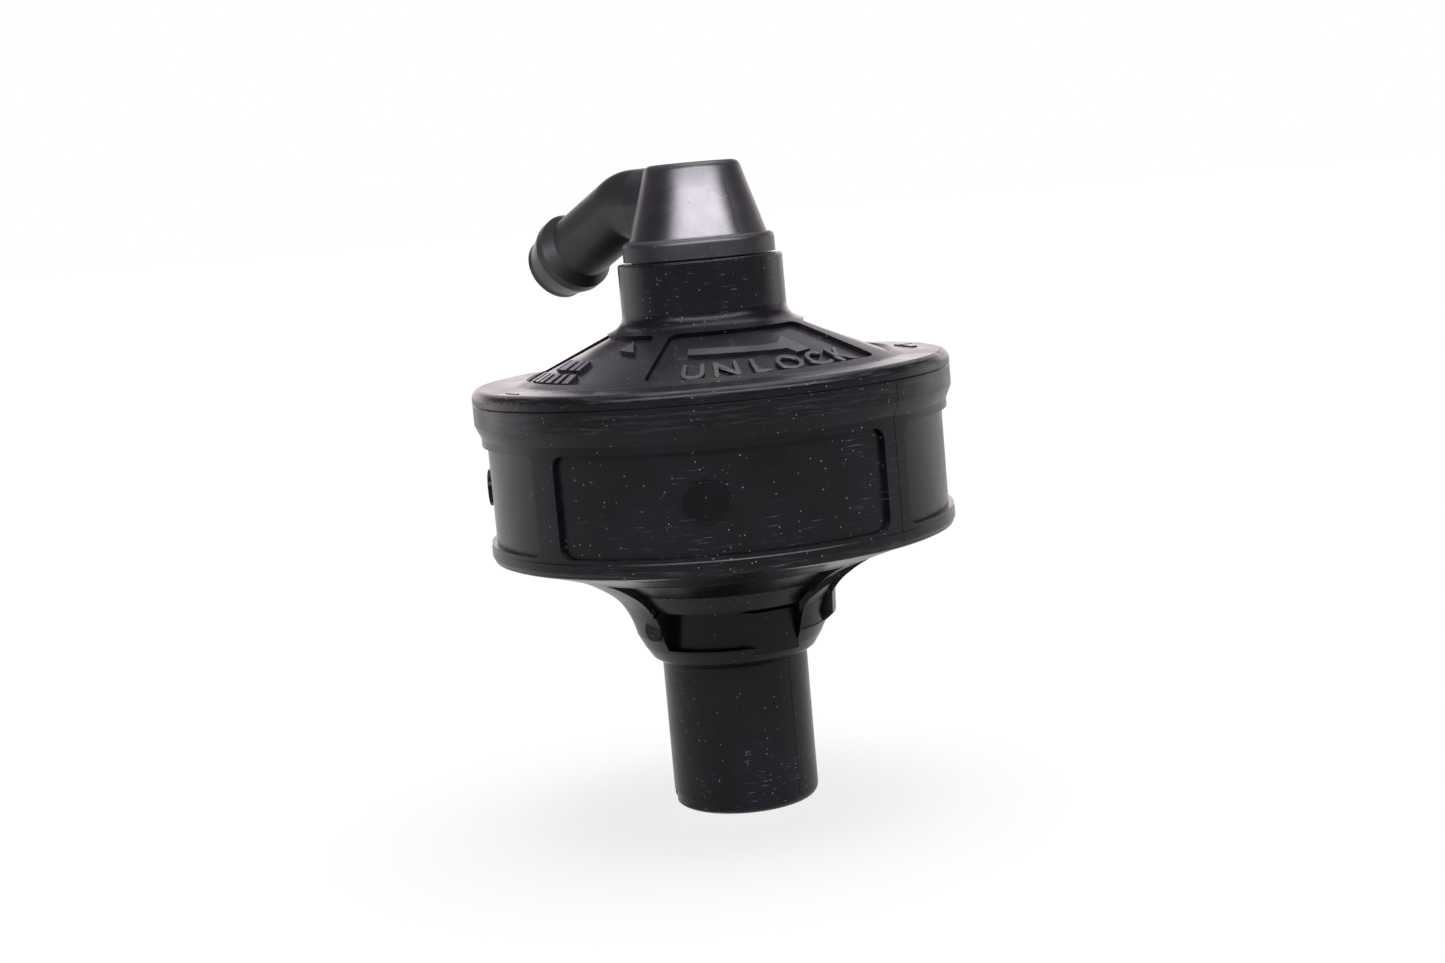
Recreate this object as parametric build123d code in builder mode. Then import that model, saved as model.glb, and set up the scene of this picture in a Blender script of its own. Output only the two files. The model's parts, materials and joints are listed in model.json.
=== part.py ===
"""Twist-lock diaphragm vent valve with a swivelling hose elbow.

Frame: millimetres, +Z up, origin on the valve axis at the spigot's open end.
Azimuths are degrees from -Y towards +X, seen from the front of the valve.
"""
from build123d import *
from math import cos, radians, sin
import os

os.makedirs("parts", exist_ok=True)

# ---------------------------------------------------------------- driving dimensions
spigot_r = 12.7            # outside radius of the bottom spigot
spigot_wall = 2.0
spigot_top = 25.9          # where the spigot meets the bayonet neck
drum_r = 41.2              # widest radius, at the seam between cover and body
drum_floor_z = 46.5        # lower edge of the drum
seam_z = 73.9              # body and cover meet here
frame_r = 40.2             # raised frame around the side panels
panel_r = 39.3             # floor of the side panels
panel_low, panel_high = 49.9, 66.7
panel_arc = 83.0
panel_start = -41.0
drum_bore_r = 37.8
ledge_z = 48.0             # shelf inside the drum for the separator stack
rim_top_z = 76.4           # flat annulus of the cover
cone_base_r = 33.4
cone_top_r, cone_top_z = 17.05, 83.57
cone_fall = (cone_base_r - cone_top_r) / (cone_top_z - rim_top_z)
neck_r, neck_top = 14.2, 95.2
neck_bore_r = 11.8
neck_shoulder_z = 86.6     # underside of the neck's inner lip
shell = 2.0                # wall of the cover

elbow_azimuth = -140.0     # the hose tube leaves towards the left rear
elbow_axis_z = 105.3
elbow_top_z = 111.5
elbow_reach = 18.1         # axis to bend
elbow_droop = 24.0         # degrees below level
elbow_leg = 25.6           # bend to open end
bend_r = 7.5
tube_r, tube_bore_r = 6.1, 4.3
bead_r = 7.35
collar_r, collar_low, collar_high = 13.1, 95.5, 98.9
cap_base_r, cap_top_r = 11.9, 8.0
tail_r, tail_low, tail_bore_r = 11.72, 84.2, 8.6

running_gap = 0.08
valve_lift = 3.0           # travel of the diaphragm plate up to the seat


def radial(azimuth):
    """Unit vector that points out of the axis at an azimuth."""
    return Vector(sin(radians(azimuth)), -cos(radians(azimuth)), 0)


def radial_plane(azimuth):
    """Half-section plane: local x runs out of the axis, local y runs up."""
    out = radial(azimuth)
    return Plane(origin=(0, 0, 0), x_dir=out, z_dir=out.cross(Vector(0, 0, 1)))


def facing_plane(azimuth, radius, height):
    """Plane tangent to the drum: local x to the right, local y up, normal outward."""
    out = radial(azimuth)
    side = Vector(0, 0, 1).cross(out)
    return Plane(origin=out * radius + Vector(0, 0, height), x_dir=side, z_dir=out)


def ring_edges(part, radius, height, slack=0.03):
    """Circular edges of a part at a given radius and height."""
    rings = part.edges().filter_by(GeomType.CIRCLE)
    return rings.filter_by(
        lambda e: abs(e.radius - radius) < slack and abs(e.position_at(0.5).Z - height) < slack
    )


def sector(azimuth, arc, points, corner=0.0, soften=0.0):
    """Solid swept round the axis from a half-section outline.

    corner rounds the four edges that run through the wall, soften rounds the outer edges.
    """
    with BuildPart(mode=Mode.PRIVATE) as swept:
        with BuildSketch(radial_plane(azimuth)):
            with BuildLine():
                Polyline(*points, close=True)
            make_face()
        revolve(axis=Axis.Z, revolution_arc=arc)
        if corner:
            radial_edges = swept.edges().filter_by(GeomType.LINE).filter_by(
                lambda e: abs(e.length - swept_thickness(points)) < 0.05
            )
            fillet(radial_edges, corner)
        if soften:
            inner = min(point[0] for point in points)
            fillet(swept.edges().filter_by(
                lambda e: all(Vector(v.X, v.Y).length > inner + 0.5 for v in e.vertices())), soften)
    return swept.part


def swept_thickness(points):
    """Length of the outline's first side, the one that runs through the wall."""
    return (Vector(*points[1]) - Vector(*points[0])).length


def washer(inner_r, outer_r, low, high):
    """Plain ring."""
    with BuildPart(mode=Mode.PRIVATE) as ring:
        with BuildSketch(Plane.XY.offset(low)):
            Circle(outer_r)
            Circle(inner_r, mode=Mode.SUBTRACT)
        extrude(amount=high - low)
    return ring.part


def finish(builder, name):
    """Label a piece and write it."""
    builder.part.label = name
    export_step(builder.part, f"parts/{name}.step")


# ---------------------------------------------------------------- body
pocket_edge_z = 36.4       # lower edge of the cone above each bayonet pocket
pocket_ledge_z = 29.5      # top of the ring below each pocket
pocket_core_r = 14.2
pocket_start, pocket_arc = -44.5, 87.5
cam_r, cam_top_z = 15.9, 35.5
boss_z = 58.6
boss_width, boss_height = 7.75, 6.45
boss_azimuth = -3.4
rear_boss_azimuth = boss_azimuth + 180
vent_z = 60.6
vent_r = 0.8
seam_chamfer = 0.15
draw_azimuth = -44.0       # the mould opens along this line

with BuildPart() as body:
    with BuildSketch(Plane.XZ):
        with BuildLine():
            Polyline(
                (spigot_r - spigot_wall, 0), (spigot_r, 0), (spigot_r, spigot_top),
                (14.3, 27.0), (15.6, 29.0), (16.7, 31.2),
            )
            Spline((16.7, 31.2), (17.9, 34.9), (19.6, 37.6), (23.4, 40.6), (29.1, 43.42),
                   tangents=[(0.2, 1), (2.6, 1)])
            Polyline(
                (29.1, 43.42), (29.2, 43.8), (29.7, 43.62), (35.4, 45.45),
                (38.9, drum_floor_z - 0.1), (39.9, drum_floor_z + 0.3), (40.3, drum_floor_z + 1.2),
                (40.3, panel_low - 0.8), (frame_r, panel_low - 0.6), (frame_r, 68.1), (40.75, 69.3),
                (drum_r, 70.4), (drum_r, seam_z - seam_chamfer), (drum_r - seam_chamfer, seam_z),
                (drum_bore_r, seam_z), (drum_bore_r, ledge_z), (35.6, ledge_z),
                (35.6, 47.0), (28.0, 45.5), (20.0, 42.1), (17.0, 40.9), (10.9, 36.6),
                (spigot_r - spigot_wall, 36.0), (spigot_r - spigot_wall, 0),
            )
        make_face()
    revolve(axis=Axis.Z)
    fillet(ring_edges(body.part, spigot_r, 0), 1.6)

    panel_profile = [(panel_r, panel_low), (drum_r + 1, panel_low),
                     (drum_r + 1, panel_high), (panel_r, panel_high)]
    panel_cut = sector(panel_start, panel_arc, panel_profile, corner=2.0)
    with PolarLocations(0, 4):
        add(panel_cut, mode=Mode.SUBTRACT)

    # flush oval bosses on the front, rear and left panels
    with BuildPart(mode=Mode.PRIVATE) as boss:
        with BuildSketch(facing_plane(boss_azimuth, 38.5, boss_z)):
            Ellipse(boss_width / 2, boss_height / 2)
        extrude(amount=4)
        with BuildSketch(Plane.XY.offset(boss_z - boss_height)):
            Circle(frame_r - 0.1)
        extrude(amount=2 * boss_height, mode=Mode.INTERSECT)
    with PolarLocations(0, 3, start_angle=180, angular_range=180, endpoint=True):
        add(boss.part)

    # bayonet neck: two pockets, front and rear, set back between the side wings
    set_back = sector(pocket_start - 1.5, pocket_arc + 1.5, [
        (17.3, pocket_edge_z), (19.9, 39.6), (24.0, 42.3), (27.6, 43.55),
        (28.7, 43.0), (29.8, 38.0), (20.0, 34.0)])
    pocket = sector(pocket_start, pocket_arc, [
        (pocket_core_r, pocket_ledge_z), (24, pocket_ledge_z),
        (24, pocket_edge_z), (pocket_core_r, pocket_edge_z)])
    with PolarLocations(0, 2):
        add(set_back, mode=Mode.SUBTRACT)
        add(pocket, mode=Mode.SUBTRACT)

    # cam that closes each pocket: a ramp, then a wall flush with the ring below
    cam_end = radial(pocket_start + pocket_arc + 1)
    with BuildPart(mode=Mode.PRIVATE) as cam:
        with BuildSketch(Plane.XY.offset(pocket_ledge_z - 1.2)):
            Circle(cam_r)
            with BuildLine():
                Polyline((0.5, -6), (0.5, -13.8), (4.1, -15.4), (4.1, -20), (15.0, -20),
                         (cam_end.X * 24, cam_end.Y * 24), (cam_end.X * 8, cam_end.Y * 8),
                         close=True)
            make_face(mode=Mode.INTERSECT)
            Circle(pocket_core_r - 0.5, mode=Mode.SUBTRACT)
        extrude(amount=cam_top_z - pocket_ledge_z + 1.2)
    with PolarLocations(0, 2):
        add(cam.part)

    # shallow recess in the right-hand wing beside each pocket, and the rib that edges it
    wing_cut = sector(pocket_start + pocket_arc + 1.5, 28, [
        (16.6, 31.4), (16.9, 33.5), (17.4, 35.6), (19.2, 38.6), (22.4, 40.9),
        (24.5, 40.9), (24.5, 31.4)])
    with PolarLocations(0, 2):
        add(wing_cut, mode=Mode.SUBTRACT)
    with BuildPart(mode=Mode.PRIVATE) as rib:
        with BuildSketch(Plane(origin=(11.6, -14.0, 0), x_dir=(1, -0.16, 0), z_dir=(-0.16, -1, 0))):
            with BuildLine():
                Polyline((0.0, 34.8), (1.8, 37.05), (3.9, 38.5), (6.8, 40.3), (12.4, 43.3),
                         (12.4, 44.2), (6.8, 42.2), (3.9, 40.4), (0.0, 36.6), close=True)
            make_face()
        extrude(amount=0.4, both=True)
    with PolarLocations(0, 2):
        add(rib.part)

    # ejector boss on one wing of each pair, and the stop lug at the right
    draw = radial(draw_azimuth)
    with BuildPart(mode=Mode.PRIVATE) as peg:
        with BuildSketch(Plane(origin=Vector(-13.3, -10.7, 33.2) - draw * 2.6, z_dir=draw)):
            Circle(2.0)
        extrude(amount=3.1)
        fillet(peg.faces().sort_by(Axis(origin=(0, 0, 0), direction=draw))[-1].edges(), 0.3)
    with PolarLocations(0, 2):
        add(peg.part)
    lug = sector(71, 34, [(14.5, 31.2), (16.9, 31.2), (18.4, 32.4), (18.55, 35.8), (18.3, 37.4),
                          (17.0, 38.6), (14.5, 38.6)], soften=0.5)
    add(lug)

    # relief on the spigot's lower left, and the atmospheric vent through the rear boss
    relief = sector(-95, 77, [(spigot_r - 0.35, -0.5), (spigot_r + 1, -0.5),
                              (spigot_r + 1, 2.7), (spigot_r - 0.35, 2.7)])
    add(relief, mode=Mode.SUBTRACT)
    with BuildSketch(facing_plane(rear_boss_azimuth, drum_bore_r - 1, vent_z)):
        Circle(vent_r)
    extrude(amount=6, mode=Mode.SUBTRACT)
finish(body, "body")

# ---------------------------------------------------------------- cover
seat_flange_low, seat_flange_high, seat_flange_r = 78.0, 79.2, 20.5
gasket_in_r, gasket_top_z = 18.7, seat_flange_high + 0.5
skirt_r, skirt_in_r, skirt_low = drum_bore_r - running_gap, 35.7, 70.0
groove_low, groove_high, groove_r = 71.2, 73.2, 36.4
recess_depth = 0.8
recess_start, recess_arc = -20.0, 81.0
neck_foot_z = cone_top_z + (cone_top_r - neck_r) / cone_fall
slant = (1 + cone_fall ** 2) ** 0.5
step_r, step_z = shell / slant, shell * cone_fall / slant


def on_cone(radius, depth=0.0):
    """Half-section point on the cover's cone at a radius, sunk by a depth."""
    height = rim_top_z + (cone_base_r - radius) / cone_fall
    return (radius - depth / slant, height - depth * cone_fall / slant)


with BuildPart() as cover:
    with BuildSketch(Plane.XZ):
        with BuildLine():
            Polyline(
                (neck_r, neck_top), (neck_r, neck_foot_z), (cone_base_r, rim_top_z),
                (drum_r, rim_top_z), (drum_r, seam_z + seam_chamfer),
                (drum_r - seam_chamfer, seam_z), (skirt_r, seam_z), (skirt_r, groove_high),
                (groove_r, groove_high), (groove_r, groove_low), (skirt_r, groove_low),
                (skirt_r, skirt_low), (skirt_in_r, skirt_low), (skirt_in_r, rim_top_z - step_z),
                (cone_base_r - step_r, rim_top_z - step_z),
                (cone_top_r - step_r, cone_top_z - step_z), (13.0, 83.3),
                (13.0, neck_shoulder_z), (neck_bore_r, neck_shoulder_z),
                (neck_bore_r, neck_top), (neck_r, neck_top),
            )
        make_face()
    revolve(axis=Axis.Z)
    fillet(ring_edges(cover.part, drum_r, rim_top_z), 1.5)
    fillet(ring_edges(cover.part, neck_r, neck_foot_z), 2.8)
    fillet(ring_edges(cover.part, cone_base_r, rim_top_z), 1.5)
    fillet(ring_edges(cover.part, neck_r, neck_top), 0.4)

    recess = [on_cone(17.0, recess_depth), on_cone(17.0, -2.0),
              on_cone(31.6, -2.0), on_cone(31.6, recess_depth)]
    recess_cut = sector(recess_start, recess_arc, recess, corner=1.6)
    with PolarLocations(0, 4):
        add(recess_cut, mode=Mode.SUBTRACT)

    # land that the outlet seat's gasket presses on
    with BuildSketch(Plane.XZ):
        with BuildLine():
            Polyline((gasket_in_r, gasket_top_z), (seat_flange_r, gasket_top_z),
                     (seat_flange_r, gasket_top_z + 0.6), (gasket_in_r, gasket_top_z + 1.3),
                     close=True)
        make_face()
    revolve(axis=Axis.Z)
finish(cover, "cover")

# ---------------------------------------------------------------- swivel elbow
elbow_plane = radial_plane(elbow_azimuth)
leg_dir = Vector(cos(radians(elbow_droop)), -sin(radians(elbow_droop)))
bend_point = Vector(elbow_reach, elbow_axis_z)
open_end = bend_point + leg_dir * elbow_leg
overshoot = bend_point + leg_dir * (elbow_leg + 2)
side_dir = Vector(-leg_dir.Y, leg_dir.X)


def leg_point(along, out):
    """Point of the tube's half-section: distance from the bend, distance off the axis."""
    spot = bend_point + leg_dir * along + side_dir * out
    return (spot.X, spot.Y)


with BuildPart() as swivel_elbow:
    with BuildSketch(Plane.XZ):
        with BuildLine():
            Polyline(
                (tail_bore_r, tail_low), (tail_r - 0.5, tail_low), (tail_r, tail_low + 0.5),
                (tail_r, 85.2), (10.7, 85.2), (10.7, 86.4), (tail_r, 86.4),
                (tail_r, 89.0), (10.1, 89.0), (10.1, 91.2), (tail_r, 91.2),
                (tail_r, collar_low), (collar_r, collar_low), (collar_r, collar_high),
                (cap_base_r, collar_high), (cap_top_r, elbow_top_z), (0, elbow_top_z),
                (0, tail_low + 8), (tail_bore_r, tail_low + 8), (tail_bore_r, tail_low),
            )
        make_face()
    revolve(axis=Axis.Z)
    fillet(ring_edges(swivel_elbow.part, collar_r, collar_high), 1.0)
    fillet(ring_edges(swivel_elbow.part, cap_top_r, elbow_top_z), 1.4)

    with BuildLine(elbow_plane) as tube_path:
        FilletPolyline((0, elbow_axis_z), (bend_point.X, bend_point.Y),
                       (open_end.X, open_end.Y), radius=bend_r)
    with BuildSketch(facing_plane(elbow_azimuth, 0, elbow_axis_z)):
        Circle(tube_r)
    sweep(path=tube_path.wires()[0])

    leg_axis = Axis(elbow_plane.from_local_coords(bend_point),
                    elbow_plane.from_local_coords(bend_point + leg_dir)
                    - elbow_plane.from_local_coords(bend_point))
    with BuildSketch(elbow_plane):
        with BuildLine():
            Polyline(leg_point(elbow_leg - 9.6, 0), leg_point(elbow_leg - 9.6, tube_r - 0.2),
                     leg_point(elbow_leg - 7.6, bead_r - 0.35),
                     leg_point(elbow_leg - 7.0, bead_r), leg_point(elbow_leg - 5.2, bead_r),
                     leg_point(elbow_leg - 0.6, tube_r - 0.15),
                     leg_point(elbow_leg, tube_r - 0.6), leg_point(elbow_leg, 0), close=True)
        make_face()
    revolve(axis=leg_axis)

    # gas passage: up through the tail and out along the tube
    with BuildSketch(Plane.XY.offset(tail_low + 7)):
        Circle(5.4)
    extrude(amount=elbow_axis_z - tail_low - 7, mode=Mode.SUBTRACT)
    with BuildLine(elbow_plane) as bore_path:
        FilletPolyline((0, elbow_axis_z), (bend_point.X, bend_point.Y),
                       (overshoot.X, overshoot.Y), radius=bend_r)
    with BuildSketch(facing_plane(elbow_azimuth, 0, elbow_axis_z)):
        Circle(tube_bore_r)
    sweep(path=bore_path.wires()[0], mode=Mode.SUBTRACT)
finish(swivel_elbow, "swivel_elbow")


def o_ring(mean_r, height, half_width, half_height):
    """Seal ring with an oval section, as squeezed in its groove."""
    with BuildPart(mode=Mode.PRIVATE) as ring:
        with BuildSketch(Plane.XZ):
            with Locations((mean_r, height)):
                Ellipse(half_width, half_height)
        revolve(axis=Axis.Z)
    return ring


elbow_oring_out_r = neck_bore_r - 0.03
elbow_oring = o_ring((10.1 + elbow_oring_out_r) / 2, 90.1, (elbow_oring_out_r - 10.1) / 2, 1.0)
finish(elbow_oring, "elbow_oring")

with BuildPart() as elbow_snap_ring:
    with BuildSketch(Plane.XY.offset(85.3)):
        Circle(12.5)
        Circle(10.8, mode=Mode.SUBTRACT)
        with Locations((12, 0)):
            Rectangle(6, 5, mode=Mode.SUBTRACT)
    extrude(amount=1.0)
finish(elbow_snap_ring, "elbow_snap_ring")

cover_oring = o_ring((groove_r + drum_bore_r) / 2, 72.2, (drum_bore_r - groove_r) / 2, 0.95)
finish(cover_oring, "cover_oring")

# ---------------------------------------------------------------- outlet seat, under the cover
seat_lip_z = 67.7
seat_out_r, seat_bore_r = 10.2, 8.6
bypass_r = 15.9            # radius of the bypass valve's place on the flange

with BuildPart() as outlet_seat:
    with BuildSketch(Plane.XZ):
        with BuildLine():
            Polyline(
                (seat_bore_r, seat_lip_z + 0.4), (9.2, seat_lip_z), (9.7, seat_lip_z),
                (seat_out_r, seat_lip_z + 0.5), (seat_out_r, seat_flange_low),
                (seat_flange_r, seat_flange_low), (seat_flange_r, seat_flange_high),
                (seat_out_r, seat_flange_high), (seat_out_r, 82.6), (seat_bore_r, 82.6),
                (seat_bore_r, seat_lip_z + 0.4),
            )
        make_face()
    revolve(axis=Axis.Z)
    with BuildSketch(Plane.XY.offset(seat_flange_low)):
        with Locations((bypass_r, 0)):
            Circle(1.05)
            with PolarLocations(1.75, 6, start_angle=30):
                Circle(0.4)
    extrude(amount=seat_flange_high - seat_flange_low, mode=Mode.SUBTRACT)
finish(outlet_seat, "outlet_seat")

with BuildPart() as seat_gasket:
    add(washer(gasket_in_r, seat_flange_r, seat_flange_high, gasket_top_z))
finish(seat_gasket, "seat_gasket")

with BuildPart() as bypass_umbrella_valve:
    with BuildSketch(Plane.XZ):
        with BuildLine():
            Polyline(
                (0, 75.6), (0.9, 76.0), (1.3, 77.2), (1.3, 77.95), (0.95, 77.95),
                (0.95, 79.25), (2.5, 79.25), (2.6, 79.5), (1.2, 80.1), (0, 80.1), close=True,
            )
        make_face()
    revolve(axis=Axis.Z)
bypass_umbrella_valve.part.position = (bypass_r, 0, 0)
finish(bypass_umbrella_valve, "bypass_umbrella_valve")

# ---------------------------------------------------------------- diaphragm and valve plate
cup_low = 57.0
cup_wall_r, cup_bore_r = 32.5, 30.8
bead_low, bead_high = 66.0, 68.0
plate_face_z = seat_lip_z - valve_lift

with BuildPart() as valve_plate:
    with BuildSketch(Plane.XZ):
        with BuildLine():
            Polyline(
                (1.9, 63.2), (17.0, 63.2), (17.6, 63.8), (17.6, 64.4), (14.6, 64.1),
                (12.0, 64.1), (11.4, plate_face_z), (7.6, plate_face_z), (6.8, 64.1),
                (1.9, 64.1), close=True,
            )
        make_face()
    revolve(axis=Axis.Z)
finish(valve_plate, "valve_plate")

with BuildPart() as diaphragm:
    with BuildSketch(Plane.XZ):
        with BuildLine():
            Polyline((1.9, 62.4), (20.0, 62.4), (23.2, 63.1), (24.8, 61.9), (26.6, 61.9),
                     (27.6, 63.2), (28.2, bead_low), (30.6, bead_low), (30.6, bead_high),
                     (28.6, bead_high), (27.5, 67.2), (26.9, 63.4), (26.2, 62.7),
                     (25.1, 62.7), (23.4, 63.9), (19.8, 63.2), (1.9, 63.2), close=True)
        make_face()
    revolve(axis=Axis.Z)
finish(diaphragm, "diaphragm")

with BuildPart() as backing_plate:
    with BuildSketch(Plane.XZ):
        with BuildLine():
            Polyline((0, 60.9), (18.4, 60.9), (19.2, 61.4), (19.2, 62.4), (1.8, 62.4),
                     (1.8, 65.6), (1.5, 66.0), (0, 66.0), close=True)
        make_face()
    revolve(axis=Axis.Z)
    with BuildSketch(Plane.XY.offset(64.95)):
        Circle(3)
        Circle(1.4, mode=Mode.SUBTRACT)
    extrude(amount=0.5, mode=Mode.SUBTRACT)
finish(backing_plate, "backing_plate")

with BuildPart() as stem_clip:
    with BuildSketch(Plane.XY.offset(65.0)):
        Circle(3.6)
        Circle(1.45, mode=Mode.SUBTRACT)
        with Locations((3, 0)):
            Rectangle(4.4, 2.2, mode=Mode.SUBTRACT)
    extrude(amount=0.4)
finish(stem_clip, "stem_clip")

with BuildPart() as plate_washer:
    add(washer(1.9, 4.4, 64.1, 65.0))
finish(plate_washer, "plate_washer")

# ---------------------------------------------------------------- regulating spring
spring_mean_r, spring_wire_r, spring_turns = 13.2, 0.55, 5.0
spring_low, spring_high = 64.1, seat_flange_low
coil_low = spring_low + spring_wire_r + 0.02
coil_high = spring_high - spring_wire_r - 0.02

with BuildPart() as regulating_spring:
    with BuildLine():
        coil = Helix(pitch=(coil_high - coil_low) / spring_turns, height=coil_high - coil_low,
                     radius=spring_mean_r, center=(0, 0, coil_low))
    with BuildSketch(Plane(origin=coil @ 0, z_dir=coil % 0)):
        Circle(spring_wire_r)
    sweep(path=coil, is_frenet=True)
finish(regulating_spring, "regulating_spring")

# ---------------------------------------------------------------- reference cup
screw_circle_r = 33.4
screw_angle = -48.4        # first screw, from +X
ear_r = 2.2
fin_low, fin_high = cup_low, skirt_low - 0.02
fin_centre_r, fin_depth = 34.85, 5.1

with BuildPart() as reference_cup:
    with BuildSketch(Plane.XZ):
        with BuildLine():
            Polyline(
                (0, cup_low), (30.5, cup_low), (cup_wall_r, cup_low + 1.5),
                (cup_wall_r, bead_high), (cup_bore_r, bead_high), (cup_bore_r, bead_low),
                (28.9, bead_low), (28.9, cup_low + 1.9), (28.5, cup_low + 1.5),
                (0, cup_low + 1.5), close=True,
            )
        make_face()
    revolve(axis=Axis.Z)
    with BuildSketch(Plane.XY.offset(fin_low)):
        with PolarLocations(fin_centre_r, 4, start_angle=boss_azimuth - 90):
            Rectangle(fin_depth, 2.4)
        with PolarLocations(fin_centre_r, 1, start_angle=rear_boss_azimuth - 90):
            Rectangle(fin_depth, 6.4)
    extrude(amount=fin_high - fin_low)
    with BuildSketch(Plane.XY.offset(60.0)):
        with PolarLocations(screw_circle_r, 4, start_angle=screw_angle):
            Circle(ear_r)
    extrude(amount=bead_high - 60.0)
    with BuildSketch(Plane.XY.offset(62.0)):
        with PolarLocations(screw_circle_r, 4, start_angle=screw_angle):
            Circle(0.95)
    extrude(amount=bead_high - 62.0, mode=Mode.SUBTRACT)
    with BuildSketch(facing_plane(rear_boss_azimuth, 28.0, vent_z)):
        Circle(1.5)
    extrude(amount=3.2, mode=Mode.SUBTRACT)
    with BuildSketch(facing_plane(rear_boss_azimuth, 28.0, vent_z)):
        Circle(vent_r)
    extrude(amount=12, mode=Mode.SUBTRACT)
finish(reference_cup, "reference_cup")

with BuildPart() as vent_filter:
    with BuildSketch(facing_plane(rear_boss_azimuth, 29.2, vent_z)):
        Circle(1.45)
    extrude(amount=1.9)
finish(vent_filter, "vent_filter")

clamp_high = bead_high + 1.4
with BuildPart() as diaphragm_clamp_ring:
    with BuildSketch(Plane.XY.offset(bead_high)):
        Circle(31.9)
        with PolarLocations(screw_circle_r, 4, start_angle=screw_angle):
            Circle(ear_r)
        Circle(28.0, mode=Mode.SUBTRACT)
        with PolarLocations(screw_circle_r, 4, start_angle=screw_angle):
            Circle(1.1, mode=Mode.SUBTRACT)
    extrude(amount=clamp_high - bead_high)
finish(diaphragm_clamp_ring, "diaphragm_clamp_ring")

screw_tip_z, head_r, head_height = 62.5, 1.75, 1.1
with BuildPart() as clamp_screws:
    with BuildSketch(Plane.XY.offset(clamp_high)):
        with PolarLocations(screw_circle_r, 4, start_angle=screw_angle):
            Circle(head_r)
    extrude(amount=head_height)
    with BuildSketch(Plane.XY.offset(screw_tip_z)):
        with PolarLocations(screw_circle_r, 4, start_angle=screw_angle):
            Circle(0.93)
    extrude(amount=clamp_high - screw_tip_z)
    with BuildSketch(Plane.XY.offset(clamp_high + head_height - 0.5)):
        with PolarLocations(screw_circle_r, 4, start_angle=screw_angle):
            Rectangle(2.2, 0.45)
            Rectangle(0.45, 2.2)
    extrude(amount=0.5, mode=Mode.SUBTRACT)
finish(clamp_screws, "clamp_screws")

# ---------------------------------------------------------------- oil separator stack
grid_low, grid_high = ledge_z, 49.4
mesh_high = 55.5
stack_r = drum_bore_r - 0.15
hub_r = 9.0


def perforated(low, high):
    """Round grid plate with three rings of drain holes and a bored hub."""
    with BuildPart(mode=Mode.PRIVATE) as plate:
        with BuildSketch(Plane.XY.offset(low)):
            Circle(stack_r)
            Circle(3.0, mode=Mode.SUBTRACT)
            for ring_r, count in ((14.0, 10), (21.0, 16), (28.0, 22)):
                with PolarLocations(ring_r, count):
                    Circle(2.3, mode=Mode.SUBTRACT)
        extrude(amount=high - low)
    return plate


mesh_support_grid = perforated(grid_low, grid_high)
finish(mesh_support_grid, "mesh_support_grid")

with BuildPart() as mesh_separator:
    add(washer(hub_r, stack_r - 0.2, grid_high, mesh_high))
finish(mesh_separator, "mesh_separator")

mesh_retainer = perforated(mesh_high, cup_low)
finish(mesh_retainer, "mesh_retainer")

with BuildPart() as splash_baffle:
    with BuildSketch(Plane.XZ):
        with BuildLine():
            Polyline((0, 42.2), (6.0, 41.6), (12.4, 39.6), (12.7, 40.5), (6.4, 42.9),
                     (2.95, 43.8), (2.95, 47.95), (hub_r - 3.4, 47.95), (hub_r - 3.4, grid_low),
                     (2.95, grid_low), (2.95, mesh_high - 0.05), (0, mesh_high - 0.05),
                     close=True)
        make_face()
    revolve(axis=Axis.Z)
finish(splash_baffle, "splash_baffle")
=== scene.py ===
"""Looks of the twist-lock diaphragm vent valve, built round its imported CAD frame. Metres, +Z up."""

import json
from math import atan, cos, degrees, pi, radians, sin

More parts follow.
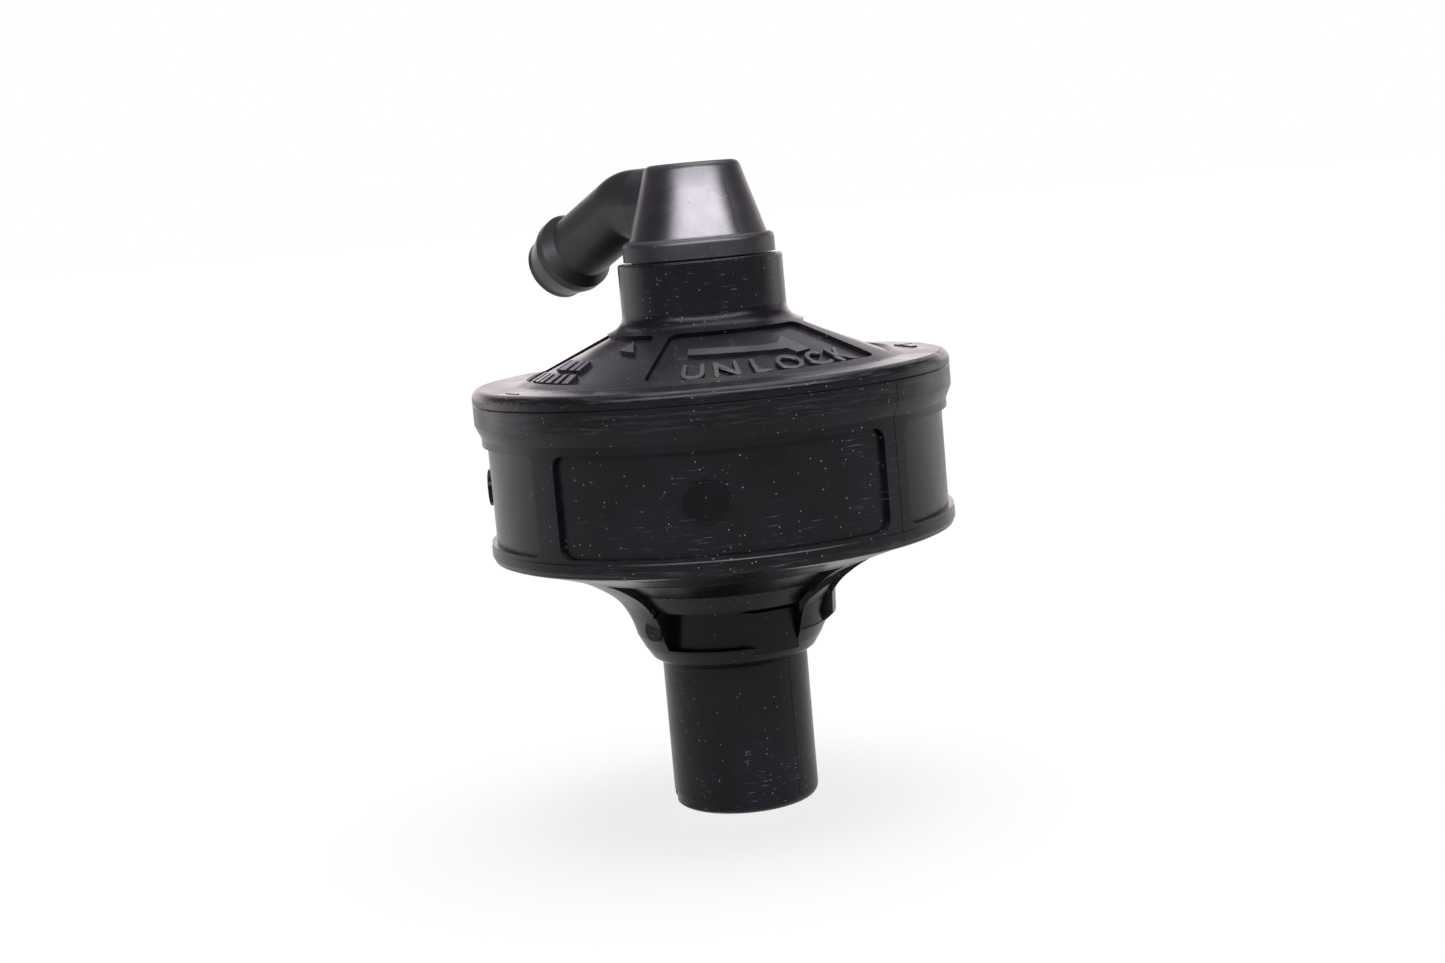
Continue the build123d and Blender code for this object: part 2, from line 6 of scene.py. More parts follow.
import bmesh
import bpy
from mathutils import Matrix, Vector
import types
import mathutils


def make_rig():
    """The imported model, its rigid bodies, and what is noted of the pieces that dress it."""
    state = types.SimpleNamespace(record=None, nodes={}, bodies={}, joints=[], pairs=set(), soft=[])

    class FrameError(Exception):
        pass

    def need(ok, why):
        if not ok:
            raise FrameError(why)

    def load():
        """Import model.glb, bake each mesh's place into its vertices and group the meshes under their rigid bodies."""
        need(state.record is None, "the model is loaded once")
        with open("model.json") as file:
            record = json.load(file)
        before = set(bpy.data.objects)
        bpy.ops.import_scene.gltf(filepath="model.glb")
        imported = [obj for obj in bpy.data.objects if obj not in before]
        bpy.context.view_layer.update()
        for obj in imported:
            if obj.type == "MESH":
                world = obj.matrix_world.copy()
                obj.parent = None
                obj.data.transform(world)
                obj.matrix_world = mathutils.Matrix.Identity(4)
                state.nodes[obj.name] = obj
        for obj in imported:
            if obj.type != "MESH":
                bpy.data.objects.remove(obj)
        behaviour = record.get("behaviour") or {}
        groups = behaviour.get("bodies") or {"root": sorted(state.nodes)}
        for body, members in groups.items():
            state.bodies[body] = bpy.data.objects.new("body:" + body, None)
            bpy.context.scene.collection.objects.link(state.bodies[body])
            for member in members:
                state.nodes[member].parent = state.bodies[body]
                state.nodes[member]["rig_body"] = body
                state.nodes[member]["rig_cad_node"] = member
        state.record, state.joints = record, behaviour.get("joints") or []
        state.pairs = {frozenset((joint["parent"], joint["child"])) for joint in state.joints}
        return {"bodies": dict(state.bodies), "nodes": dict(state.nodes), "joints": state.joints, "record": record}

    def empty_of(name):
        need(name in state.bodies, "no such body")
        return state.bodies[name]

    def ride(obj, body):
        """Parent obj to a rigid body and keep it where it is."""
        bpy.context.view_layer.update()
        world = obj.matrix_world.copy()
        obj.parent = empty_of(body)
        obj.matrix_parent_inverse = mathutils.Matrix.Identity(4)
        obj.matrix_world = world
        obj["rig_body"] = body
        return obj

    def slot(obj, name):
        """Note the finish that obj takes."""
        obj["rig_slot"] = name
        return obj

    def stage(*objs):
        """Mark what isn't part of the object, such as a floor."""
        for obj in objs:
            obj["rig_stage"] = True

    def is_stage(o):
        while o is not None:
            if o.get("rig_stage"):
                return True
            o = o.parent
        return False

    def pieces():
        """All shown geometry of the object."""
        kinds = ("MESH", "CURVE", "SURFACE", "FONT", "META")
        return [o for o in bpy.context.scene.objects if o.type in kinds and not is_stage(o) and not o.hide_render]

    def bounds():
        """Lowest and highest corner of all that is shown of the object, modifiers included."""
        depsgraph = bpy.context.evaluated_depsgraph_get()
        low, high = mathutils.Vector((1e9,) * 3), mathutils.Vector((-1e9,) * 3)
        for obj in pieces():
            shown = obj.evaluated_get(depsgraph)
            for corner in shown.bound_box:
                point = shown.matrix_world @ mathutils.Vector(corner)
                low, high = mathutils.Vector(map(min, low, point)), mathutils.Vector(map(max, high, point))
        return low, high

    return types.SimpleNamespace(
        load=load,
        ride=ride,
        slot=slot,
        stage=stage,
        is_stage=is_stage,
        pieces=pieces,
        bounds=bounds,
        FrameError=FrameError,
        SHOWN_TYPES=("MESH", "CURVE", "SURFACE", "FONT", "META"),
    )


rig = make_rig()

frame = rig.load()
cad_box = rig.bounds()
MM = 0.001
NODES = frame["nodes"]


# ------------------------------------------------------------------ places on the valve
def spot(azimuth, radius, height):
    """Point at an azimuth (degrees from -Y towards +X), radius and height, all in millimetres."""
    a = radians(azimuth)
    return Vector((sin(a) * radius, -cos(a) * radius, height)) * MM


def outward(azimuth, tilt=0.0):
    """Unit vector out of the axis, tilted up by some degrees."""
    a, t = radians(azimuth), radians(tilt)
    return Vector((sin(a) * cos(t), -cos(a) * cos(t), sin(t)))


RIM_TOP = 76.4
CONE_BASE_R = 33.4
CONE_TOP_R, CONE_TOP = 17.05, 83.57
CONE_FALL = (CONE_BASE_R - CONE_TOP_R) / (CONE_TOP - RIM_TOP)   # radius lost per mm of height
CONE_TILT = atan(CONE_FALL)
RECESS = 0.8                                    # depth of the cone's panels
CAP_PARTING = 37.0                              # azimuth of the elbow's mould line
MOULD_AZIMUTHS = (46.0, 226.0)                  # where the housing's mould opens


def cone_spot(azimuth, radius, rise):
    """Point on the cover's recessed panels, a rise above their floor along the cone's normal."""
    height = RIM_TOP + (CONE_BASE_R - radius) / CONE_FALL
    lift = rise - RECESS
    return spot(azimuth, radius + lift * cos(CONE_TILT), height + lift * sin(CONE_TILT))


# ------------------------------------------------------------------ materials
DRUM_REACH = 0.04                               # radius, in metres, at which marks are to scale
SCRATCHED, FILM, DUST = (0.09, 0.085, 0.095), (0.075, 0.073, 0.075), (0.34, 0.32, 0.32)
# The lighter rubbed colour and the heights of the drum's edge bands carry wear and a painted highlight along the rim,
# the lower edge and the widest band.
RUBBED_AND_HIGHLIGHT, DUSTY_BLACK = (0.075, 0.07, 0.08), (0.006, 0.006, 0.006)
LOWER_EDGE, RIM_EDGE, WIDEST_BAND = (0.0462, 0.0482), (0.0748, 0.0766), (0.0700, 0.0735)
EDGE_FADE = 0.0004


def new_material(name):
    material = bpy.data.materials.new(name)
    material.use_nodes = True
    nodes, links = material.node_tree.nodes, material.node_tree.links
    return material, nodes, links, nodes["Principled BSDF"]


def add_node(nodes, kind, **values):
    node = nodes.new(kind)
    for key, value in values.items():
        if key in node.inputs:
            node.inputs[key].default_value = value
        else:
            setattr(node, key.lower(), value)
    return node


def noise(nodes, links, vector, scale, detail=4.0, roughness=0.55):
    node = add_node(nodes, "ShaderNodeTexNoise", Scale=scale, Detail=detail, Roughness=roughness)
    links.new(vector, node.inputs["Vector"])
    return node.outputs["Fac"]


def ramp(nodes, links, factor, low, high, start=0.0, end=1.0):
    """Maps a factor between two limits onto two values."""
    node = add_node(nodes, "ShaderNodeMapRange")
    node.clamp = True
    node.inputs["From Min"].default_value = low
    node.inputs["From Max"].default_value = high
    node.inputs["To Min"].default_value = start
    node.inputs["To Max"].default_value = end
    links.new(factor, node.inputs["Value"])
    return node.outputs["Result"]


def mix_colour(nodes, links, factor, first, second):
    node = nodes.new("ShaderNodeMix")
    node.data_type = "RGBA"
    links.new(factor, node.inputs["Factor"])
    for socket, value in ((node.inputs["A"], first), (node.inputs["B"], second)):
        if isinstance(value, tuple):
            socket.default_value = (*value, 1.0)
        else:
            links.new(value, socket)
    return node.outputs["Result"]


def math(nodes, links, operation, first, second=None):
    node = nodes.new("ShaderNodeMath")
    node.operation = operation
    for socket, value in zip(node.inputs, (first, second)):
        if isinstance(value, (int, float)):
            socket.default_value = value
        elif value is not None:
            links.new(value, socket)
    return node.outputs[0]


def object_vector(nodes):
    return nodes.new("ShaderNodeTexCoord").outputs["Object"]


def round_the_axis(nodes, links, vector, along=1.0, up=1.0):
    """Coordinates that run round the valve's axis, for marks left by turning and handling."""
    split = nodes.new("ShaderNodeSeparateXYZ")
    links.new(vector, split.inputs[0])
    angle = math(nodes, links, "ARCTAN2", split.outputs["Y"], split.outputs["X"])
    join = nodes.new("ShaderNodeCombineXYZ")
    links.new(math(nodes, links, "MULTIPLY", angle, DRUM_REACH * along), join.inputs["X"])
    links.new(math(nodes, links, "MULTIPLY", split.outputs["Z"], up), join.inputs["Z"])
    return join.outputs[0]


def moulded_plastic(name, dark, light, roughness, gloss, scratches, dust, grain=0.02,
                    settled=0.12):
    """Black injection-moulded plastic with handling marks, scratches and specks of dust."""
    material, nodes, links, shader = new_material(name)
    where = object_vector(nodes)
    cloud = noise(nodes, links, where, 90, 5.0, 0.6)
    patches = noise(nodes, links, where, 38, 3.0, 0.7)
    fine = noise(nodes, links, where, 1500, 3.0, 0.5)
    base = mix_colour(nodes, links, ramp(nodes, links, cloud, 0.38, 0.66), dark, light)
    tinge = (light[0] * 1.2, light[1] * 1.1, light[2] * 1.9)

    turned = round_the_axis(nodes, links, where, along=1.0, up=26.0)
    streak = noise(nodes, links, turned, 140, 3.0, 0.6)
    rubbed = ramp(nodes, links, patches, 0.48, 0.62)
    scratch = math(nodes, links, "MULTIPLY", ramp(nodes, links, streak, 0.62, 0.70), rubbed)
    scratch = math(nodes, links, "MULTIPLY", scratch, scratches)
    hair = noise(nodes, links, round_the_axis(nodes, links, where, along=2.0, up=60.0), 260, 2.0)
    scratch = math(nodes, links, "ADD", scratch,
                   ramp(nodes, links, hair, 0.70, 0.76, 0.0, scratches * 0.5))
    base = mix_colour(nodes, links, ramp(nodes, links, patches, 0.5, 0.75, 0.0, 0.8), base, tinge)
    base = mix_colour(nodes, links, scratch, base, SCRATCHED)

    facing = nodes.new("ShaderNodeSeparateXYZ")
    links.new(nodes.new("ShaderNodeNewGeometry").outputs["Normal"], facing.inputs[0])
    film = math(nodes, links, "MULTIPLY", ramp(nodes, links, facing.outputs["Z"], 0.1, 0.95),
                ramp(nodes, links, patches, 0.3, 0.7, settled * 0.4, settled))
    base = mix_colour(nodes, links, film, base, FILM)
    base = sprinkle(nodes, links, where, base, 1100.0, 0.16, dust * 0.45, 0.40)
    base = sprinkle(nodes, links, where, base, 520.0, 0.075, dust * 0.7, 0.48)
    links.new(base, shader.inputs["Base Color"])

    rough = ramp(nodes, links, cloud, 0.3, 0.7, roughness - 0.05, roughness + 0.07)
    rough = math(nodes, links, "ADD", rough, math(nodes, links, "MULTIPLY", scratch, 0.2))
    links.new(rough, shader.inputs["Roughness"])

    height = math(nodes, links, "ADD", math(nodes, links, "MULTIPLY", fine, grain),
                  math(nodes, links, "MULTIPLY", scratch, -0.03))
    height = math(nodes, links, "ADD", height, math(nodes, links, "MULTIPLY", cloud, 0.25))
    bump = add_node(nodes, "ShaderNodeBump", Strength=0.35, Distance=0.0006)
    links.new(height, bump.inputs["Height"])
    links.new(bump.outputs["Normal"], shader.inputs["Normal"])
    shader.inputs["Specular IOR Level"].default_value = gloss
    return material


def sprinkle(nodes, links, where, base, scale, size, amount, rarity):
    """Pale specks of dust, at most one to a cell, in drifts."""
    cells = add_node(nodes, "ShaderNodeTexVoronoi", Scale=scale, Randomness=1.0)
    links.new(where, cells.inputs["Vector"])
    speck = ramp(nodes, links, cells.outputs["Distance"], size * 0.6, size, 1.0, 0.0)
    chosen = ramp(nodes, links, cells.outputs["Color"], 0.62, 0.66)
    drift = ramp(nodes, links, noise(nodes, links, where, 110, 3.0), rarity, rarity + 0.08)
    cover = math(nodes, links, "MULTIPLY", math(nodes, links, "MULTIPLY", speck, chosen), drift)
    return mix_colour(nodes, links, math(nodes, links, "MULTIPLY", cover, amount), base, DUST)


def wear_and_highlight_edges(material):
    """Rubbed streaks and painted highlights along the rim, the widest band and the lower edge of the drum: a lighter
    colour at fixed heights, partly wear and partly painted highlight.
    """
    nodes, links = material.node_tree.nodes, material.node_tree.links
    shader = nodes["Principled BSDF"]
    where = object_vector(nodes)
    split = nodes.new("ShaderNodeSeparateXYZ")
    links.new(where, split.inputs[0])
    z = split.outputs["Z"]
    near = []
    for low, high in (LOWER_EDGE, RIM_EDGE, WIDEST_BAND):
        near.append(math(nodes, links, "MULTIPLY",
                         ramp(nodes, links, z, low, low + EDGE_FADE),
                         ramp(nodes, links, z, high - EDGE_FADE, high, 1.0, 0.0)))
    wear_and_highlight_band = math(nodes, links, "ADD", math(nodes, links, "ADD", near[0], near[1]),
                math(nodes, links, "MULTIPLY", near[2], 0.55))
    turned = round_the_axis(nodes, links, where, along=1.0, up=14.0)
    streak = noise(nodes, links, turned, 130, 5.0, 0.7)
    # worn is the mask of rubbed wear and of painted highlight along these bands.
    worn = math(nodes, links, "MULTIPLY", ramp(nodes, links, streak, 0.5, 0.68), wear_and_highlight_band)
    base = shader.inputs["Base Color"].links[0].from_socket
    # Painted highlight: a lighter colour in streaks at the edge bands stands in for light caught there, partly real
    # wear.
    links.new(mix_colour(nodes, links, math(nodes, links, "MULTIPLY", worn, 0.45), base,
                         RUBBED_AND_HIGHLIGHT), shader.inputs["Base Color"])
    rough = shader.inputs["Roughness"].links[0].from_socket
    links.new(math(nodes, links, "SUBTRACT", rough, math(nodes, links, "MULTIPLY", worn, 0.06)),
              shader.inputs["Roughness"])
    return material


def polish_cap(material):
    """Leaves the elbow's cap glossy and its tube and collar matte and dusty."""
    nodes, links = material.node_tree.nodes, material.node_tree.links
    shader = nodes["Principled BSDF"]
    split = nodes.new("ShaderNodeSeparateXYZ")
    links.new(object_vector(nodes), split.inputs[0])
    x, y, z = split.outputs
    across = math(nodes, links, "SQRT", math(nodes, links, "ADD",
                                             math(nodes, links, "MULTIPLY", x, x),
                                             math(nodes, links, "MULTIPLY", y, y)))
    inside = ramp(nodes, links, across, 0.0132, 0.0140, 1.0, 0.0)
    above = ramp(nodes, links, z, 0.0988, 0.0992)
    azimuth = math(nodes, links, "ARCTAN2", x, math(nodes, links, "MULTIPLY", y, -1.0))
    before_parting = ramp(nodes, links, azimuth, radians(CAP_PARTING - 0.4),
                          radians(CAP_PARTING + 0.4), 1.0, 0.12)
    after_back = ramp(nodes, links, azimuth, radians(-100), radians(-40))
    worn_top = ramp(nodes, links, z, 0.1070, 0.1100, 1.0, 0.2)
    above = math(nodes, links, "MULTIPLY", above, worn_top)
    shine = math(nodes, links, "MULTIPLY", math(nodes, links, "MULTIPLY", inside, above),
                 math(nodes, links, "MULTIPLY", before_parting, after_back))
    worn = shader.inputs["Base Color"].links[0].from_socket
    dusty = mix_colour(nodes, links, math(nodes, links, "SUBTRACT", 1.0, inside), worn,
                       DUSTY_BLACK)
    links.new(dusty, shader.inputs["Base Color"])
    matte = shader.inputs["Roughness"].links[0].from_socket
    rough = math(nodes, links, "SUBTRACT", matte, math(nodes, links, "MULTIPLY", shine, 0.15))
    links.new(rough, shader.inputs["Roughness"])
    return material


def rubber(name, dark, light):
    material, nodes, links, shader = new_material(name)
    where = object_vector(nodes)
    cloud = noise(nodes, links, where, 300, 4.0)
    links.new(mix_colour(nodes, links, cloud, dark, light), shader.inputs["Base Color"])
    links.new(ramp(nodes, links, cloud, 0.3, 0.7, 0.55, 0.75), shader.inputs["Roughness"])
    bump = add_node(nodes, "ShaderNodeBump", Strength=0.3, Distance=0.0002)
    links.new(noise(nodes, links, where, 2500, 2.0), bump.inputs["Height"])
    links.new(bump.outputs["Normal"], shader.inputs["Normal"])
    return material


def metal(name, dark, light, roughness, stretch=30.0):
    material, nodes, links, shader = new_material(name)
    where = round_the_axis(nodes, links, object_vector(nodes), up=stretch)
    lines = noise(nodes, links, where, 300, 4.0, 0.6)
    links.new(mix_colour(nodes, links, lines, dark, light), shader.inputs["Base Color"])
    links.new(ramp(nodes, links, lines, 0.3, 0.7, roughness - 0.08, roughness + 0.08),
              shader.inputs["Roughness"])
    shader.inputs["Metallic"].default_value = 1.0
    bump = add_node(nodes, "ShaderNodeBump", Strength=0.15, Distance=0.0001)
    links.new(lines, bump.inputs["Height"])
    links.new(bump.outputs["Normal"], shader.inputs["Normal"])
    return material


def make_materials():
    black, violet = (0.0018, 0.0017, 0.002), (0.0042, 0.0036, 0.0055)
    worn, pale = (0.006, 0.0055, 0.007), (0.018, 0.016, 0.02)
    return {
        "housing_plastic": wear_and_highlight_edges(
            moulded_plastic("housing_plastic", black, violet, 0.29, 0.17, 1.0, 0.8)),
        "elbow_plastic": polish_cap(
            moulded_plastic("elbow_plastic", black, violet, 0.4, 0.32, 0.1, 0.3, 0.004, 0.35)),
        "dull_plastic": moulded_plastic("dull_plastic", (0.0008, 0.0008, 0.0008),
                                        (0.0016, 0.0016, 0.0016), 0.6, 0.12, 0.0, 0.3, 0.3),
        "worn_edge": moulded_plastic("worn_edge", worn, pale, 0.3, 0.5, 0.6, 0.6),
        "inner_plastic": moulded_plastic("inner_plastic", (0.06, 0.06, 0.063), (0.1, 0.1, 0.105),
                                         0.5, 0.5, 0.1, 0.1),
        "seal_rubber": rubber("seal_rubber", (0.012, 0.012, 0.012), (0.025, 0.025, 0.025)),
        "diaphragm_rubber": rubber("diaphragm_rubber", (0.03, 0.027, 0.024), (0.06, 0.052, 0.045)),
        "silicone": rubber("silicone", (0.35, 0.07, 0.03), (0.5, 0.12, 0.05)),
        "spring_steel": metal("spring_steel", (0.3, 0.3, 0.31), (0.5, 0.5, 0.5), 0.3),
        "zinc_steel": metal("zinc_steel", (0.45, 0.46, 0.48), (0.65, 0.65, 0.64), 0.35),
        "separator_fleece": rubber("separator_fleece", (0.42, 0.4, 0.34), (0.6, 0.58, 0.5)),
        "foam": rubber("foam", (0.05, 0.05, 0.05), (0.11, 0.11, 0.11)),
    }


MATERIALS = make_materials()


def dress_cad_nodes():
    for part in frame["record"]["subparts"]:
        node = NODES[part["node"]]
        node.data.materials.clear()
        node.data.materials.append(MATERIALS[part["material_slot"]])
        for face in node.data.polygons:
            face.material_index = 0


# ------------------------------------------------------------------ raised marks on the cover
def piece_from(name, mesh, body, slot, look=None):
    mesh.name = name
    mesh.materials.clear()
    mesh.materials.append(MATERIALS[look or slot])
    piece = bpy.data.objects.new(name, mesh)
    bpy.context.scene.collection.objects.link(piece)
    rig.ride(piece, body)
    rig.slot(piece, slot)
    return piece


def prism(outline, place, low, high, step=1.5):
    """Closed mesh from a flat outline, cut into small spans and laid on a curved surface."""
    points = []
    for start, end in zip(outline, outline[1:] + outline[:1]):
        run = (Vector(end) - Vector(start)).length
        spans = max(1, round(run / step))
        for i in range(spans):
            points.append(Vector(start).lerp(Vector(end), i / spans))
    mesh = bmesh.new()
    rings = [[mesh.verts.new(place(p.x, p.y, h)) for p in points] for h in (low, high)]
    count = len(points)
    for i in range(count):
        j = (i + 1) % count
        mesh.faces.new((rings[0][i], rings[0][j], rings[1][j], rings[1][i]))
    caps = [mesh.faces.new(rings[0][::-1]), mesh.faces.new(rings[1])]
    bmesh.ops.triangulate(mesh, faces=caps)
    bmesh.ops.recalc_face_normals(mesh, faces=mesh.faces)
    data = bpy.data.meshes.new("prism")
    mesh.to_mesh(data)
    mesh.free()
    return data


MARK_LOW, MARK_HIGH = -0.15, 0.7                # foot and top of a mark, off the panel's floor


def cover_mark(name, outline, place=cone_spot, low=MARK_LOW, high=MARK_HIGH):
    data = prism(outline, place, low, high, 1.0)
    return piece_from(name, data, "housing", "housing_plastic", "worn_edge")


def raised_arrow():
    cover_mark("raised_arrow", [(-8.2, 22.0), (24.0, 22.9), (30.5, 22.8), (36.0, 20.6),
                                (40.3, 25.9), (33.3, 26.5), (31.6, 24.9), (23.4, 24.8),
                                (-8.0, 23.9)])


def letter_mesh(letter, size):
    """Flat letter with a thickness, centred on x, its foot on y = 0, in millimetres."""
    curve = bpy.data.curves.new("letter", "FONT")
    curve.body = letter
    curve.size = size
    curve.extrude = 0.5
    curve.offset = 0.06
    curve.align_x = "CENTER"
    curve.resolution_u = 5
    holder = bpy.data.objects.new("letter", curve)
    bpy.context.scene.collection.objects.link(holder)
    bpy.context.view_layer.update()
    data = bpy.data.meshes.new_from_object(holder)
    bpy.data.objects.remove(holder)
    mesh = bmesh.new()
    mesh.from_mesh(data)
    bmesh.ops.remove_doubles(mesh, verts=mesh.verts, dist=1e-4)
    bmesh.ops.recalc_face_normals(mesh, faces=mesh.faces)
    mesh.to_mesh(data)
    mesh.free()
    return data


def raised_word():
    """Generic word that tells what the arrow does."""
    foot_r, first, pitch, size = 31.1, -5.2, 10.6, 6.6
    for i, letter in enumerate("UNLOCK"):
        data = letter_mesh(letter, size)
        for vertex in data.vertices:
            turn = first + pitch * i + degrees(vertex.co.x / foot_r)
            radius = foot_r - vertex.co.y * sin(CONE_TILT)
            rise = MARK_HIGH if vertex.co.z > 0 else MARK_LOW
            vertex.co = cone_spot(turn, radius, rise)
        piece_from(f"raised_letter_{i + 1}", data, "housing", "housing_plastic", "worn_edge")


def on_rim(turn, radius, rise):
    return spot(turn, radius, RIM_TOP + rise)


def raised_ticks():
    """Triangle and two rows of plain ticks on the left panel, and small marks on the rim."""
    cover_mark("raised_triangle", [(-43.5, 21.2), (-40.5, 18.6), (-33.5, 22.0)])
    rows = ((24.4, 27.2, (-73.5, -69.4, -66.0, -60.6, -56.0)),
            (28.4, 31.0, (-78.0, -73.4, -68.6, -63.6, -58.0, -53.4)))
    lean = 1.4
    for row, (low_r, high_r, starts) in enumerate(rows):
        for i, start in enumerate(starts):
            wide = 3.2 if i % 2 else 2.4
            cover_mark(f"raised_tick_{row + 1}_{i + 1}",
                       [(start, low_r), (start + wide, low_r),
                        (start + wide + lean, high_r), (start + lean, high_r)])
    cover_mark("rim_dash_left", [(-61.6, 37.9), (-55.4, 37.9), (-55.4, 38.4), (-61.6, 38.4)],
               on_rim, -0.2, 0.12)
    cover_mark("rim_mark_right_1", [(96.0, 35.6), (103.0, 35.0), (103.0, 37.4), (96.0, 36.6)],
               on_rim, -0.2, 0.25)
    cover_mark("rim_mark_right_2", [(105.0, 35.0), (109.0, 35.0), (109.0, 38.0), (105.0, 37.4)],
               on_rim, -0.2, 0.25)


BOSS_R, BOSS_Z = 40.1, 58.6
BOSS_HALF_WIDTH, BOSS_HALF_HEIGHT = 3.72, 3.07


def make_boss_faces():
    """Rough faces of the oval bosses, a hair proud of the CAD solid."""
    outline = [(cos(2 * pi * i / 40) * BOSS_HALF_WIDTH, sin(2 * pi * i / 40) * BOSS_HALF_HEIGHT)
               for i in range(40)]
    for name, turn in (("boss_face_front", -3.4), ("boss_face_left", -93.4)):

        def place(x, y, rise, turn=turn):
            return spot(turn + degrees(x / BOSS_R), BOSS_R + rise, BOSS_Z + y)
        piece_from(name, prism(outline, place, -0.2, 0.03), "housing", "housing_plastic",
                   "dull_plastic")


# ------------------------------------------------------------------ parting lines of the moulds
def flash_line(name, body, slot, azimuth, profile, width=0.16, proud=0.07):
    """Thin raised line that runs along a half-section profile (radius, height) at an azimuth."""
    out = outward(azimuth)
    side = Vector((0, 0, 1)).cross(out)
    mesh = bmesh.new()
    rings = []
    count = len(profile)
    for i, (radius, height) in enumerate(profile):
        before, after = profile[max(i - 1, 0)], profile[min(i + 1, count - 1)]
        run = Vector((after[0] - before[0], after[1] - before[1])).normalized()
        normal = out * -run.y + Vector((0, 0, 1)) * run.x
        centre = spot(azimuth, radius, height)
        rings.append([mesh.verts.new(centre + (side * a + normal * b) * MM) for a, b in
                      ((-width, -0.15), (-width / 3, proud), (width / 3, proud), (width, -0.15))])
    for first, second in zip(rings, rings[1:]):
        for j in range(4):
            k = (j + 1) % 4
            mesh.faces.new((first[j], first[k], second[k], second[j]))
    mesh.faces.new(rings[0])
    mesh.faces.new(rings[-1])
    bmesh.ops.recalc_face_normals(mesh, faces=mesh.faces)
    data = bpy.data.meshes.new(name)
    mesh.to_mesh(data)
    mesh.free()
    piece_from(name, data, body, slot)


def make_parting_lines():
    """Every profile runs downwards on the outside of its piece."""
    cap = [(7.5, 111.1), (8.35, 110.3), (11.85, 99.2)]
    collar = [(12.6, 98.75), (13.1, 98.0), (13.1, 95.7)]
    drum = [(41.2, 73.6), (41.2, 70.5), (40.75, 69.4), (40.2, 68.1), (40.2, 49.4), (40.3, 49.0),
            (40.3, 47.8)]
    neck = [(14.2, 94.6), (14.2, 88.5)]
    spigot = [(12.7, 25.7), (12.7, 1.8)]
    flash_line("cap_parting_line", "elbow", "elbow_plastic", CAP_PARTING, cap, 0.12, 0.05)
    flash_line("cap_collar_parting_line", "elbow", "elbow_plastic", CAP_PARTING, collar,
               0.12, 0.05)
    for turn in MOULD_AZIMUTHS:
        flash_line(f"drum_parting_line_{turn:.0f}", "housing", "housing_plastic", turn, drum)
        flash_line(f"spigot_parting_line_{turn:.0f}", "housing", "housing_plastic", turn, spigot)
        flash_line(f"neck_parting_line_{turn:.0f}", "housing", "housing_plastic", turn, neck,
                   0.12, 0.05)


def make_marks():
    raised_arrow()
    raised_word()
    raised_ticks()
    make_boss_faces()
    make_parting_lines()


# ------------------------------------------------------------------ stage, light and camera
FLOOR_R = 12.0


def make_floor():
    mesh = bmesh.new()
    bmesh.ops.create_circle(mesh, cap_ends=True, radius=FLOOR_R, segments=64)
    data = bpy.data.meshes.new("floor")
    mesh.to_mesh(data)
    mesh.free()
    floor = bpy.data.objects.new("floor", data)
    bpy.context.scene.collection.objects.link(floor)
    material, nodes, links, shader = new_material("floor")
    cloud = noise(nodes, links, object_vector(nodes), 3.0)
    links.new(mix_colour(nodes, links, cloud, (0.87, 0.87, 0.87), (0.89, 0.89, 0.89)),
              shader.inputs["Base Color"])
    shader.inputs["Roughness"].default_value = 1.0
    shader.inputs["Specular IOR Level"].default_value = 0.0
    data.materials.append(material)
    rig.stage(floor)


def softbox(name, azimuth, elevation, distance, width, height, power, tint, aim=0.08,
            shape="RECTANGLE"):
    data = bpy.data.lights.new(name, "AREA")
    data.shape = shape
    data.size, data.size_y = width, height
    data.energy = power
    data.color = tint
    light = bpy.data.objects.new(name, data)
    bpy.context.scene.collection.objects.link(light)
    target = Vector((0, 0, aim))
    light.location = target + outward(azimuth, elevation) * distance
    light.rotation_euler = (target - light.location).to_track_quat("-Z", "Y").to_euler()
    light.visible_camera = False
    return light


OVERHEAD_SPREAD = 50


def overhead(name, power):
    """Even light from straight above, which keeps the pale floor plain to its far edge."""
    data = bpy.data.lights.new(name, "SUN")
    data.energy = power
    data.angle = radians(OVERHEAD_SPREAD)
    light = bpy.data.objects.new(name, data)
    bpy.context.scene.collection.objects.link(light)
    light.rotation_euler = (radians(-8), radians(6), 0)
    return light


def light_only(light, objects):
    """Keeps a light off everything but these objects."""
    group = bpy.data.collections.new(f"{light.name}_receivers")
    for item in objects:
        group.objects.link(item)
    light.light_linking.receiver_collection = group


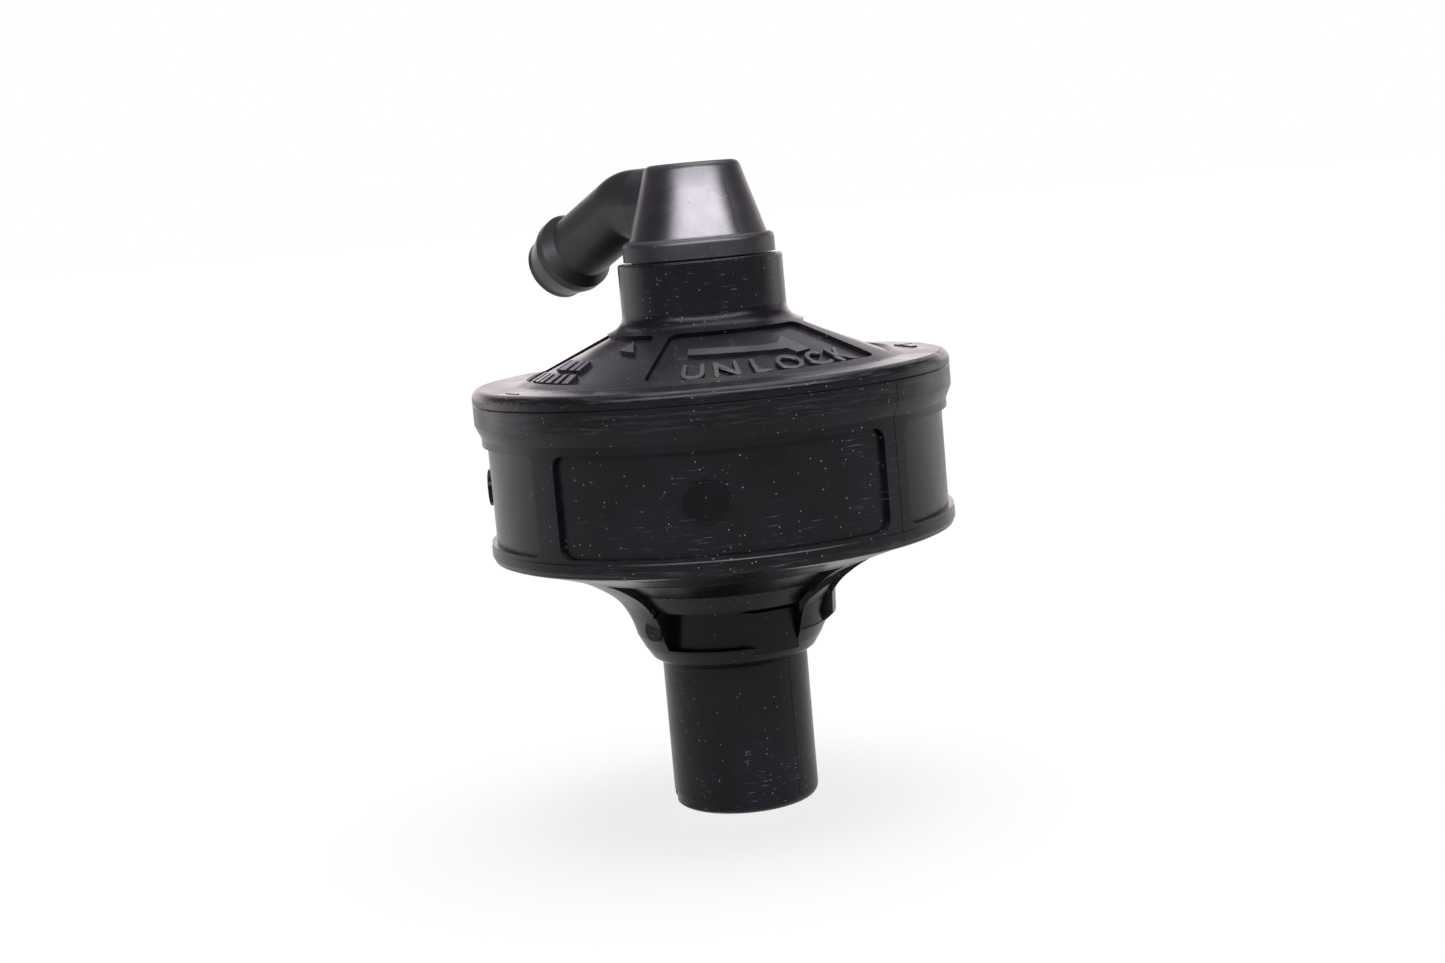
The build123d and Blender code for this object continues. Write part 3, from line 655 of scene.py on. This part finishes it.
def make_lights():
    pink, lilac = (1.0, 0.9, 0.93), (0.95, 0.91, 1.0)
    shown = [item for item in bpy.data.objects
             if item.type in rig.SHOWN_TYPES and item.name != "floor"]
    elbow = [item for item in shown if item.name.startswith(("swivel_elbow", "cap_"))]
    rest = [item for item in shown if item not in elbow]
    over_elbow = [
        softbox("cap_key", 8, 36, 0.5, 1.5, 0.11, 20.0, lilac, aim=0.105, shape="ELLIPSE"),
        softbox("elbow_left", -112, 4, 0.7, 0.5, 0.35, 0.25, pink, aim=0.1),
    ]
    for box in over_elbow:
        light_only(box, elbow)
    boxes = [
        softbox("front_key", 6, 38, 0.5, 1.2, 0.09, 7.0, lilac, aim=0.1),
        softbox("top_strip", 178, 35, 0.7, 0.9, 0.25, 0.9, lilac, aim=0.08),
    ]
    for box in boxes:
        light_only(box, rest)
    light_only(softbox("left_wall", -112, 2, 0.7, 0.5, 0.3, 0.75, pink), rest)
    walls = [
        softbox("right_wall", 118, 4, 0.8, 0.35, 0.4, 0.6, pink),
        softbox("back_wall", 180, 9, 1.5, 2.4, 0.5, 9, pink),
    ]
    for box in walls:
        light_only(box, shown)
    floor = bpy.data.objects["floor"]
    overhead("overhead", 0.5)
    light_only(overhead("piece_wash", 2.0), shown)
    wash = overhead("floor_wash", 3.12)
    light_only(wash, [floor])
    blockers = bpy.data.collections.new("floor_wash_blockers")
    blockers.objects.link(floor)
    wash.light_linking.blocker_collection = blockers


def make_world():
    """White seen directly, dim grey in reflections, as a dark studio round a lit backdrop."""
    world = bpy.data.worlds.new("studio")
    bpy.context.scene.world = world
    bpy.context.scene.view_settings.view_transform = "Standard"
    world.use_nodes = True
    nodes, links = world.node_tree.nodes, world.node_tree.links
    path = nodes.new("ShaderNodeLightPath")
    shader = nodes["Background"]
    mix = nodes.new("ShaderNodeMix")
    mix.data_type = "RGBA"
    mix.inputs["A"].default_value = (0.02, 0.02, 0.022, 1)
    mix.inputs["B"].default_value = (1.0, 1.0, 1.0, 1)
    links.new(path.outputs["Is Camera Ray"], mix.inputs["Factor"])
    links.new(mix.outputs["Result"], shader.inputs["Color"])


LENS = 53.845                                   # millimetres, on a sensor 36 mm wide
CAMERA_TILT, CAMERA_ROLL = 7.53, 5.09
CAMERA_PLACE = Vector((0.51, -373.0, 105.6)) * MM


def make_camera():
    data = bpy.data.cameras.new("camera")
    data.sensor_width = 36.0
    data.lens = LENS
    data.clip_start = 0.01
    camera = bpy.data.objects.new("camera", data)
    bpy.context.scene.collection.objects.link(camera)
    tilt, roll = radians(CAMERA_TILT), radians(CAMERA_ROLL)
    level_right, level_up = Vector((1, 0, 0)), Vector((0, sin(tilt), cos(tilt)))
    ahead = Vector((0, cos(tilt), -sin(tilt)))
    right = level_right * cos(roll) - level_up * sin(roll)
    up = level_right * sin(roll) + level_up * cos(roll)
    turn = Matrix((right, up, -ahead)).transposed()
    camera.matrix_world = Matrix.Translation(CAMERA_PLACE) @ turn.to_4x4()
    bpy.context.scene.camera = camera


dress_cad_nodes()
make_marks()
make_floor()
make_lights()
make_world()
make_camera()

with open("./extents.json", "w") as size_file:
    json.dump({"cad": [list(corner) for corner in cad_box],
               "visual": [list(corner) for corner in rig.bounds()]}, size_file)
